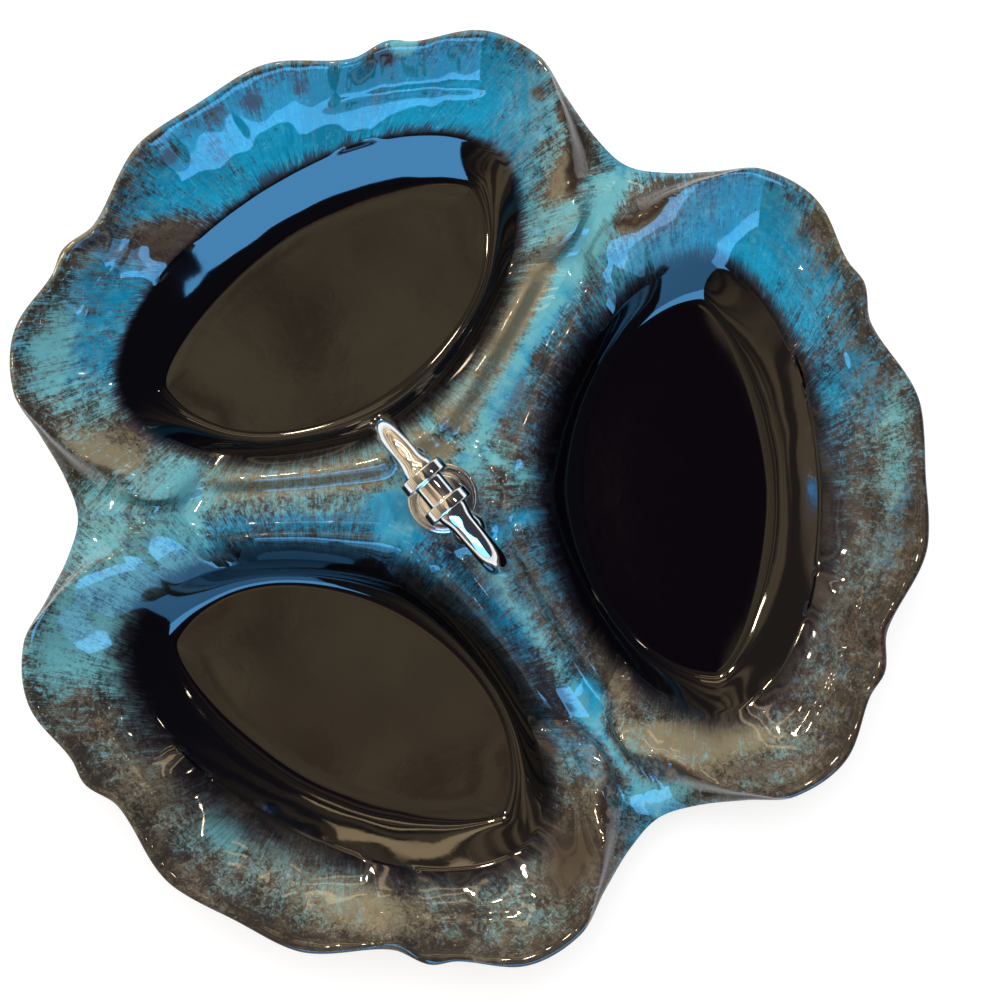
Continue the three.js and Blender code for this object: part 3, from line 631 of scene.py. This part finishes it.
def glazeFields(points, fields, look):
    # The glaze's layers at each point: turquoise pools in hollows, thins over crests and the rim,
    # and drains from the wells
    turn = angleOf(points) - cameraView["roll"]
    picture = turnPlan(points[:, :2], -cameraView["roll"])
    lobe = np.round(fields["lobe"]).astype(int)
    soft, rounding, crestGap, raised = (fields[name] for name in ("soft", "rounding", "crestGap", "raised"))
    spread, thinning = look["spread"], look["thinning"]

    def byAngle(name):
        angles, amounts = np.array(look["byAngle"][name], float).T
        return np.interp(turn, angles, amounts, period=360)

    def onInner(name):
        return np.array(look["inner"][name])[lobe]

    extra = np.zeros((len(points), 4))
    for x, y, length, width, degrees, *change in look["patches"]:
        change = np.pad(change, (0, 4 - len(change)))
        extra += mound(picture, (x, y), degrees, length, width)[:, None] * change
    turquoise, sea, black, fur = (
        mix(byAngle(name), onInner(name), soft) for name in ("turquoise", "sea", "black", "fur")
    )
    middle, width = spread["crest"]
    crest = rounding * np.exp(-((crestGap - middle) / width) ** 2)
    ridge = rounding * smooth(crestGap, *spread["ridgeSide"]) * smooth(crestGap, *spread["ridgeTop"])
    hollow = rounding * smooth(fields["sunk"], *spread["hollow"])
    pooled = np.maximum(hollow, np.clip(-raised / spread["channelDepth"], 0, 1))
    rimBand = smooth(fields["rimGap"], *spread["rimBand"]) * (1 - hollow)
    # rimLine marks the rim's outer roll in the streaked zones; its olive is partly the glaze's own
    # olive-brown and partly a painted warm sheen
    rimLine = smooth(fields["rimGap"], *spread["rimLine"]) * (1 - hollow) * byAngle("fur") * (1 - soft)
    turquoise = turquoise - thinning["raised"] * np.clip(raised, 0, spread["thickest"])
    turquoise = mix(turquoise, byAngle("pool"), pooled) - thinning["rimBand"] * rimBand
    sea = mix(np.maximum(sea, look["ridgeSea"] * ridge * (1 - soft)), look["grooveSea"], hollow)
    # Olive on the ridges and the inner sides: partly the glaze's olive-brown, partly a painted warm sheen
    olive = mix(look["ridgeOliveSheen"] * ridge, onInner("olive"), soft) * (1 - pooled)
    moundSpots = look["moundSpots"] * fields["mounds"] * (1 - soft)
    crestSpots = look["crestSpots"] * crest * mix(1, look["innerSpots"], soft)
    lipDusk = byAngle("dusk") * smooth(fields["out"], *spread["dusk"])
    return {
        "turquoise": turquoise + extra[:, 0],
        "green": sea + extra[:, 1],
        "olive": np.maximum(olive, look["rimOliveSheen"] * rimLine) + extra[:, 2],
        "spots": np.maximum(moundSpots, crestSpots) + extra[:, 3],
        "band": rimBand,
        "night": fields["out"] / black,
        "comb": smooth(fields["out"], *spread["comb"]) * (1 - soft),
        "fur": fur,
        "dusk": mix(lipDusk, mix(onInner("dusk"), look["grooveDusk"], hollow), soft),
        "under": fields["under"],
    }


def glazeFinish(look):
    material, bench = newFinish("drip glaze")
    place = bench.place()
    flow = bench.field("flow", "Vector")
    turquoise, green, olive, spots, band, night, comb, fur, dusk, under = (bench.field(name) for name in (
        "turquoise", "green", "olive", "spots", "band", "night", "comb", "fur", "dusk", "under"))

    def run(name):
        factors, *rest = look["runs"][name]
        return bench.noise(bench.stretch(flow, factors), 1.0, *rest)

    def sway(noise, strength):  # a noise about its middle
        return (noise - 0.5) * strength

    def layer(below, name, driver, where=1.0):
        colour, low, high, strength = look["layers"][name]
        return bench.blend(bench.rise(driver, low, high) * (where * strength), below, colour)

    streak, thread, sheet = (run(name) for name in ("streak", "thread", "sheet"))
    fleck, grain, mottle, cloud = (
        bench.noise(place, *look["specks"][name]) for name in ("fleck", "grain", "mottle", "cloud")
    )
    hair = bench.rise(thread, 0.46, 0.6)

    # Turquoise, which streaks along the flow and breaks up in flecks
    amount = turquoise + (sway(streak, 1.0) + sway(hair, 0.25) + sway(sheet, 0.7)) * fur
    amount = amount + sway(fleck, 0.7) + sway(grain, 0.7) + sway(mottle, 0.4) + sway(cloud, 0.4)
    amount = amount - spots * look["thinning"]["spots"]
    cover = bench.rise(amount, *look["cover"]) * (0.6 + 0.4 * bench.rise(fur + turquoise, 0.5, 1.1))
    pool = layer(look["turquoise"], "deep", cloud + sway(streak, 0.8))
    pool = layer(pool, "sea", green + sway(mottle, 0.8) + sway(streak, 0.6) * fur)

    # The brown ground below it
    earth = layer(look["darkBrown"], "brown", mottle * 0.5 + cloud * 0.5 + sway(fleck, 0.7) - band * 0.12)
    earth = layer(earth, "dusk", dusk + sway(fleck, 0.6))
    # Olive: partly the glaze's own olive-brown, partly a painted warm sheen on ridges, the rim's roll and
    # lower lips
    earth = layer(earth, "olive", olive + sway(fleck, 1.2))

    # Pale hairs, dark spots and the combed edge by the wells
    lip = bench.blend(cover, earth, pool)
    lip = layer(lip, "pale", fleck + sway(thread, 0.7) * fur, bench.rise(amount, 0.2, 0.5))
    lip = layer(lip, "spot", spots * bench.rise(cloud + sway(mottle, 0.4), 0.2, 0.55) + sway(fleck, 0.6))
    lip = layer(lip, "comb", comb * bench.rise(sheet, 0.3, 0.62) + sway(streak, 1.0) - hair * 0.3)

    # Black in the wells, through violet
    ragged = (sway(streak, 1.0) + sway(thread, 0.7)) * (0.3 + 0.7 * fur) + sway(mottle, 0.6)
    inward = 0.0 - (night + ragged)
    colour = layer(layer(lip, "violet", inward), "black", inward)

    # The plain underside, and bare clay on the feet
    olivePaint, brownPaint = look["layers"]["olive"][0], look["layers"]["brown"][0]
    belly = bench.blend(bench.rise(mottle, 0.35, 0.7), look["darkBrown"], brownPaint)
    colour = bench.blend(bench.rise(under, 0.55, 0.9), colour, belly)
    height = bench.node("ShaderNodeSeparateXYZ", {}, [place], 2)
    bare = bench.rise(under, 0.9, 1.0) * (1 - bench.rise(height, *look["footHeight"]))
    colour = bench.blend(bare, colour, bench.blend(mottle, look["clay"], olivePaint))
    rougher = bare * look["bareRoughness"] + bench.rise(mottle, 0.5, 0.8) * look["mottleRoughness"]
    surfaceOf(bench, {
        "Base Color": colour,
        "Roughness": look["roughness"] + rougher,
        "IOR": look["ior"],
        "Normal": bench.bump(*look["uneven"], cloud + mottle * 0.3),
    })
    return material


def makeDish():
    d = dishShape
    points, triangles, fields, flow = dishSurface(d)
    layers = glazeFields(points, fields, glazeLook)
    middle = np.array([handleAxis[0] + d["holeOffset"], handleAxis[1], 0])  # the handle's axis is the hole's
    mesh = makeMesh("glazed_dish", points + middle, triangles, d["sharpAngle"])
    for name, numbers in layers.items():
        mesh.attributes.new(name, "FLOAT", "POINT").data.foreach_set("value", numbers.astype(np.float32))
    along = mesh.attributes.new("flow", "FLOAT_VECTOR", "CORNER")
    along.data.foreach_set("vector", flow.astype(np.float32).ravel())
    makePiece("glazed_dish", mesh, glazeFinish(glazeLook), "dish", "dish")
    print("dish made:", len(triangles), "triangles, middle at", middle.round(3).tolist())


makeDish()

# Metal and rubber
chromeLook = {"colour": srgb("#e3e5e8"), "dull": srgb("#b9b6b0"), "roughness": 0.05, "wear": 0.35}
steelLook = {"colour": srgb("#a9a9a6"), "dull": srgb("#7d7a75"), "roughness": 0.32, "wear": 0.8}
rubberLook = {"colour": srgb("#1d1d1f"), "worn": srgb("#2c2b2b"), "roughness": 0.7}


def metalFinish(name, look):
    material, bench = newFinish(name)
    place = bench.place()
    cloud = bench.noise(place, 320.0, 4.0, 0.6, 0.3)
    scratch = bench.noise(bench.stretch(place, (900.0, 5200.0, 2600.0)), 1.0, 3.0, 0.6)
    rougher = bench.rise(cloud, 0.45, 0.8) * 0.08 + bench.rise(scratch, 0.6, 0.8) * 0.05
    surfaceOf(bench, {
        "Base Color": bench.blend(bench.rise(cloud, 0.5, 0.75) * look["wear"], look["colour"], look["dull"]),
        "Roughness": look["roughness"] + rougher,
        "Metallic": 1.0,
        "Normal": bench.bump(0.03, 0.0002, scratch),
    })
    return material


def rubberFinish(name, look):
    material, bench = newFinish(name)
    grain = bench.noise(bench.place(), 1500.0)
    surfaceOf(bench, {
        "Base Color": bench.blend(bench.rise(grain, 0.4, 0.7), look["colour"], look["worn"]),
        "Roughness": look["roughness"] + grain * 0.15,
        "Normal": bench.bump(0.2, 0.0002, grain),
    })
    return material


chrome = metalFinish("chrome plating", chromeLook)
steel = metalFinish("zinc plating", steelLook)
rubber = rubberFinish("gasket rubber", rubberLook)
fastenings = {
    "top_gasket": rubber, "lower_gasket": rubber,
    "flat_washer": steel, "lock_washer": steel, "clamp_screw": steel,
}
for nodeName, finish in fastenings.items():
    solid = frame["nodes"][nodeName]
    solid.data.materials.clear()
    solid.data.materials.append(finish)
print("metal and rubber finished")

# The handle
handleShape = {
    "turn": 127.0,  # degrees from the first lobe to the loop's plane; heights are from the seat on the dish
    "screwClearance": 2.75, "gap": 0.05,
    "flange": {
        "radius": 12.6, "low": 1.3, "rim": 2.6, "rimWidth": 1.7, "plate": 1.2, "edge": 0.5, "hollow": 0.25,
        "bossGap": 0.35,
    },
    "boss": {"radius": 8.4, "low": 2.55, "height": 4.0, "round": 1.0},
    "bow": {
        "halfWidth": 30.6, "low": 11.6, "height": 42.0, "squareness": 2.6,
        "bar": 4.2, "horn": 5.6, "hornLength": 9.0,
        "footBar": 5.0, "footRadius": 6.0, "footLow": 6.6, "footLand": 1.0, "bead": 6.4, "beadDistance": 14.4,
        "beadCrispness": 14, "boreDepth": 4.15, "steps": 300, "sides": 44,
    },
    "spool": {
        "radius": 5.2, "length": 8.2, "collar": 8.5, "thickness": 4.3, "round": 0.6,
        "pin": 2.2, "pinLength": 3.0,
    },
    "sides": 96, "sharpAngle": 40,
}


def corner(r, z, radius, first, last, steps=6):
    # Points of a round corner about (r, z), between two angles
    return (np.array([r, z]) + polar(radius, np.linspace(first, last, steps + 1))).tolist()


def revolve(profile, sides, closed=True):
    # A profile of (radius, height) points turned about Z; the solid lies on the profile's left
    ring = np.array([*profile, profile[0]] if closed else profile, float)
    turn = np.linspace(0, 2 * np.pi, sides, endpoint=False)
    grid = np.stack([ring[:, :1] * np.cos(turn), ring[:, :1] * np.sin(turn), ring[:, 1:] + 0 * turn], -1)
    return weld(grid.reshape(-1, 3), gridTriangles(len(ring), sides, True)[:, ::-1])[:2]


def onAxis(points):
    # From the handle's own frame, with the loop in its XZ plane, to the part's frame
    plan = turnPlan(points[:, :2], handleShape["turn"])
    return np.column_stack([plan, points[:, 2]]) + handleAxis


def flangeSurface(h):
    f = h["flange"]
    middle, half = f["radius"] - f["rimWidth"] / 2, f["rimWidth"] / 2
    plateTop = f["low"] + f["plate"]
    return revolve([
        (h["screwClearance"], f["low"]), (f["radius"] - f["edge"], f["low"]),
        (f["radius"], f["low"] + f["edge"]),
        *corner(middle, f["low"] + f["rim"] - half, half, 0, 180, 14),
        (middle - f["rimWidth"], plateTop + f["hollow"]),
        (h["boss"]["radius"] + f["bossGap"], plateTop), (h["screwClearance"], plateTop),
    ], h["sides"])


def bossSurface(h):
    b = h["boss"]
    top = b["low"] + b["height"]
    return revolve([
        (h["screwClearance"], b["low"]), (b["radius"], b["low"]),
        *corner(b["radius"] - b["round"], top - b["round"], b["round"], 0, 90),
        (h["screwClearance"], top),
    ], h["sides"])


def spoolSurface(h):
    # A bobbin turned about its own length, laid along the loop at its crown
    s = h["spool"]
    half, outside = s["length"] / 2, s["length"] / 2 + s["thickness"]
    edge = s["collar"] - s["round"]
    side = [
        (s["pin"], outside + s["pinLength"]), (s["pin"], outside),
        *corner(edge, outside - s["round"], s["round"], 90, 0),
        *corner(edge, half + s["round"], s["round"], 0, -90),
        *corner(s["radius"] + s["round"], half - s["round"], s["round"], 90, 180),
    ]
    other = [(r, -x) for r, x in reversed(side)]
    profile = [(0, outside + s["pinLength"]), *side, *other, (0, -outside - s["pinLength"])]
    points, triangles = revolve(profile[::-1], h["sides"], closed=False)
    lift = h["bow"]["low"] + h["bow"]["height"]
    return np.stack([points[:, 2], points[:, 1], lift - points[:, 0]], -1), triangles


def bowTurn(b, aside):  # the parameter at which the bow's upper half lies this far from its middle
    return math.acos((aside / b["halfWidth"]) ** (b["squareness"] / 2))


def bowLine(b, turn):
    # The bow's middle line, a squared ellipse in the loop's plane
    circle = np.stack([np.cos(turn), np.sin(turn)], -1)
    squared = np.sign(circle) * np.abs(circle) ** (2 / b["squareness"])
    return squared * [b["halfWidth"], b["height"] / 2] + [0, b["low"] + b["height"] / 2]


def bowSurface(h):
    # A round bar along the bow's line, flared to the horns and swollen by a bead on each leg
    b = h["bow"]
    face = h["spool"]["length"] / 2 + h["spool"]["thickness"] + h["gap"]
    first = bowTurn(b, face)
    line = bowLine(b, np.linspace(first, -math.pi - first, b["steps"] + 1))
    along = np.gradient(line, axis=0)
    along /= np.linalg.norm(along, axis=1)[:, None]
    along[[0, -1], 1] = 0  # the horns end square to the spool
    along[[0, -1]] /= np.abs(along[[0, -1], :1])
    aside = np.abs(line[:, 0])
    horn = mix(b["bar"], b["horn"], (1 - smooth(aside, face, face + b["hornLength"])) ** 2)
    foot = mix(b["bar"], b["footBar"], 1 - smooth(aside, b["footRadius"], b["halfWidth"]))
    radius = np.where(line[:, 1] > b["low"] + b["height"] / 2, horn, foot)
    bead = bowLine(b, np.array([-bowTurn(b, b["beadDistance"])]))[0]
    gap = np.minimum(np.linalg.norm(line - bead, axis=1), np.linalg.norm(line - bead * [-1, 1], axis=1))
    ball = np.sqrt(np.maximum(b["bead"] ** 2 - gap ** 2, 0))
    radius = (radius ** b["beadCrispness"] + ball ** b["beadCrispness"]) ** (1 / b["beadCrispness"])
    line = np.concatenate([line[:1], line, line[-1:]])
    along = np.concatenate([along[:1], along, along[-1:]])
    radius = np.concatenate([[0], radius, [0]])[:, None]
    spin = np.linspace(0, 2 * np.pi, b["sides"], endpoint=False)
    inPlane = radius * np.cos(spin)
    grid = np.stack([
        line[:, :1] - along[:, 1:] * inPlane, radius * np.sin(spin), line[:, 1:] + along[:, :1] * inPlane,
    ], -1)
    return weld(grid.reshape(-1, 3), gridTriangles(*grid.shape[:2], True))[:2]


def footSurface(h):
    # The cone between the bow and its boss
    b = h["bow"]
    return revolve([
        (0, b["footLow"]), (b["footRadius"], b["footLow"]), (b["footRadius"], b["footLow"] + b["footLand"]),
        (b["footBar"], b["low"]), (0, b["low"]),
    ], h["sides"], closed=False)


def boreSurface(h):
    # The screw's bore, which runs as far below the foot as into it
    low, high = (h["bow"]["footLow"] + side * h["bow"]["boreDepth"] for side in (-1, 1))
    radius = h["screwClearance"]
    return revolve([(0, low), (radius, low), (radius, high), (0, high)], h["sides"] // 2, closed=False)


def joinMeshes(name, base, others):
    # Joins or cuts closed meshes into one; each other mesh comes with its operation
    whole = addObject(name, base)
    helpers = []
    for mesh, operation in others:
        helper = addObject(mesh.name, mesh)
        helpers.append(helper)
        step = whole.modifiers.new(mesh.name, "BOOLEAN")
        step.operation, step.object, step.solver = operation, helper, "EXACT"
    made = bpy.data.meshes.new_from_object(whole.evaluated_get(bpy.context.evaluated_depsgraph_get()))
    for thing in (whole, *helpers):
        bpy.data.objects.remove(thing)
    made.name = name
    return made


def makeHandle(h):
    def meshOf(name, surface):
        points, triangles = surface(h)
        return makeMesh(name, onAxis(points), triangles, h["sharpAngle"])

    for name, node, surface in (
        ("flange", "base_flange", flangeSurface), ("boss", "boss_collar", bossSurface),
        ("spool", "crown_spool", spoolSurface),
    ):
        makePiece(name, meshOf(name, surface), chrome, "handle", node)
    foot, bore = meshOf("foot", footSurface), meshOf("bore", boreSurface)
    bow = joinMeshes("bow", meshOf("bar", bowSurface), [(foot, "UNION"), (bore, "DIFFERENCE")])
    bow.set_sharp_from_angle(angle=math.radians(h["sharpAngle"]))
    makePiece("bow", bow, chrome, "handle", "handle_bow")
    print("handle made:", len(bow.polygons), "faces in the bow")


makeHandle(handleShape)

# Studio: floor, world and soft lights
studio = {
    "floorRadius": 10.0, "floorSides": 96, "floorDrop": 0.2,  # metres, and millimetres below the feet
    "floorColour": (0.36, 0.36, 0.36, 1.0), "floorGlow": 0.8,
    "horizon": (0.92, 0.92, 0.92, 1.0), "horizonTop": 0.09,
    "darkSky": (0.05, 0.05, 0.06, 1.0), "warmSky": (1.25, 0.95, 0.58, 1.0),
    "warmSide": 150, "warmEdge": (-0.3, 0.7),  # the warm room's middle in degrees, and where it fades in
    "bands": (1.3, 1.3, 15.0), "bandEdge": (0.44, 0.58), "betweenBands": 0.2,
    "overhead": (1.25, 0.98, 0.58, 1.0), "overheadBright": (1.75, 1.2, 0.66, 1.0),
    "overheadDark": (0.05, 0.03, 0.04, 1.0),
    "overheadEdge": (0.955, 0.988), "brightEdge": (-0.01, 0.12), "darkEdge": (-0.03, 0.02),
    "mattLight": "soft",  # the one that lights matt surfaces; the others are only mirrored
    "lights": {  # angle round the dish and above the floor, distance, size, colour, brightness
        "windowTop": (-78, 45, 1.6, (1.5, 0.52), (0.13, 0.5, 1.0), 11.0),
        "windowLow": (-78, 22, 1.6, (1.5, 0.78), (0.13, 0.5, 1.0), 3.8),
        "shelfOne": (98, 38, 1.8, (1.3, 0.1), (1.0, 0.74, 0.42), 4.5),
        "shelfTwo": (98, 48, 1.8, (1.3, 0.06), (1.0, 0.74, 0.42), 4.5),
        "shelfThree": (98, 56, 1.8, (1.0, 0.06), (1.0, 0.74, 0.42), 4.0),
        "lampOne": (112, 52, 1.5, (0.09, 0.09), (1.0, 0.8, 0.52), 150.0),
        "lampTwo": (135, 44, 1.5, (0.11, 0.07), (1.0, 0.82, 0.55), 130.0),
        "lampThree": (158, 56, 1.5, (0.07, 0.1), (1.0, 0.84, 0.6), 130.0),
        "lampFour": (42, 50, 1.5, (0.06, 0.05), (1.0, 0.84, 0.6), 60.0),
        "soft": (90, 68, 2.0, (2.4, 2.0), (0.94, 0.97, 1.04), 3.1),
    },
}


def makeFloor(s):
    # A wide disc under the feet, which looks white and still takes the dish's shadow
    sides = np.arange(s["floorSides"])
    ring = polar(s["floorRadius"] / mm, sides * 360 / s["floorSides"])
    plan = np.concatenate([[[0, 0]], ring])
    points = np.column_stack([plan, np.full(len(plan), -s["floorDrop"])])
    triangles = np.stack([0 * sides, 1 + sides, 1 + (sides + 1) % s["floorSides"]], -1)
    mesh = makeMesh("floor", points, triangles)
    material, bench = newFinish("floor")
    camera, glossy = (
        bench.node("ShaderNodeLightPath", {}, {}, "Is " + kind + " Ray") for kind in ("Camera", "Glossy")
    )
    seen = (camera + glossy) * s["floorGlow"]
    matt = bench.node("ShaderNodeBsdfDiffuse", {}, {"Color": s["floorColour"]})
    glow = bench.node("ShaderNodeEmission", {}, {"Color": (1, 1, 1, 1), "Strength": seen})
    both = bench.node("ShaderNodeAddShader", {}, [matt, glow])
    bench.node("ShaderNodeOutputMaterial", {}, {"Surface": both})
    mesh.materials.append(material)
    addObject("floor", mesh)


def makeWorld(s):
    # A pale horizon, a warm banded room on one side, dark on the other,
    # and overhead a mottled warm ceiling over half the view
    world = bpy.data.worlds.new("studio")
    world.use_nodes = True
    scene.world = world
    bench = Bench(world.node_tree)
    direction = bench.node("ShaderNodeTexCoord", {}, {}, "Generated")
    x, y, z = (bench.node("ShaderNodeSeparateXYZ", {}, [direction], k) for k in range(3))
    turn = math.radians(s["warmSide"])
    warm = bench.rise(x * math.cos(turn) + y * math.sin(turn), *s["warmEdge"])
    bands = bench.rise(bench.noise(bench.stretch(direction, s["bands"]), 1.0, 2.0, 0.5), *s["bandEdge"])
    least = s["betweenBands"]
    sky = bench.blend(warm * (least + (1 - least) * bands), s["darkSky"], s["warmSky"])
    cloud = bench.noise(direction, 9.0, 2.0, 0.5)
    bright = bench.rise((cloud - 0.5) * 0.1 - y, *s["brightEdge"])
    above = bench.blend(bright, s["overhead"], s["overheadBright"])
    spots = bench.rise(bench.noise(direction, 26.0, 5.0, 0.65, 0.5), 0.35, 0.7)
    above = bench.blend(spots * 0.7, above, s["overheadDark"])
    above = bench.blend(bench.rise(x, *s["darkEdge"]), above, s["overheadDark"])
    sky = bench.blend(bench.rise(z, *s["overheadEdge"]), sky, above)
    colour = bench.blend(bench.rise(z, s["horizonTop"] / 2, s["horizonTop"]), s["horizon"], sky)
    light = bench.node("ShaderNodeBackground", {}, {"Color": colour, "Strength": 1.0})
    bench.node("ShaderNodeOutputWorld", {}, {"Surface": light})


def makeLights(s):
    for name, (turn, above, distance, size, colour, brightness) in s["lights"].items():
        data = bpy.data.lights.new(name, "AREA")
        data.shape, data.size, data.size_y = "RECTANGLE", *size
        data.color = colour
        data.energy = brightness * math.pi * size[0] * size[1]
        light = addObject(name, data)
        around, up = math.radians(turn + cameraView["roll"]), math.radians(above)
        toward = Vector((math.cos(around) * math.cos(up), math.sin(around) * math.cos(up), math.sin(up)))
        light.location = toward * distance
        light.rotation_euler = toward.to_track_quat("Z", "Y").to_euler()
        light.visible_camera = False
        light.visible_diffuse = name == s["mattLight"]
        light.visible_glossy = name != s["mattLight"]


makeFloor(studio)
makeWorld(studio)
makeLights(studio)
print("studio lit by", len(studio["lights"]), "lights")
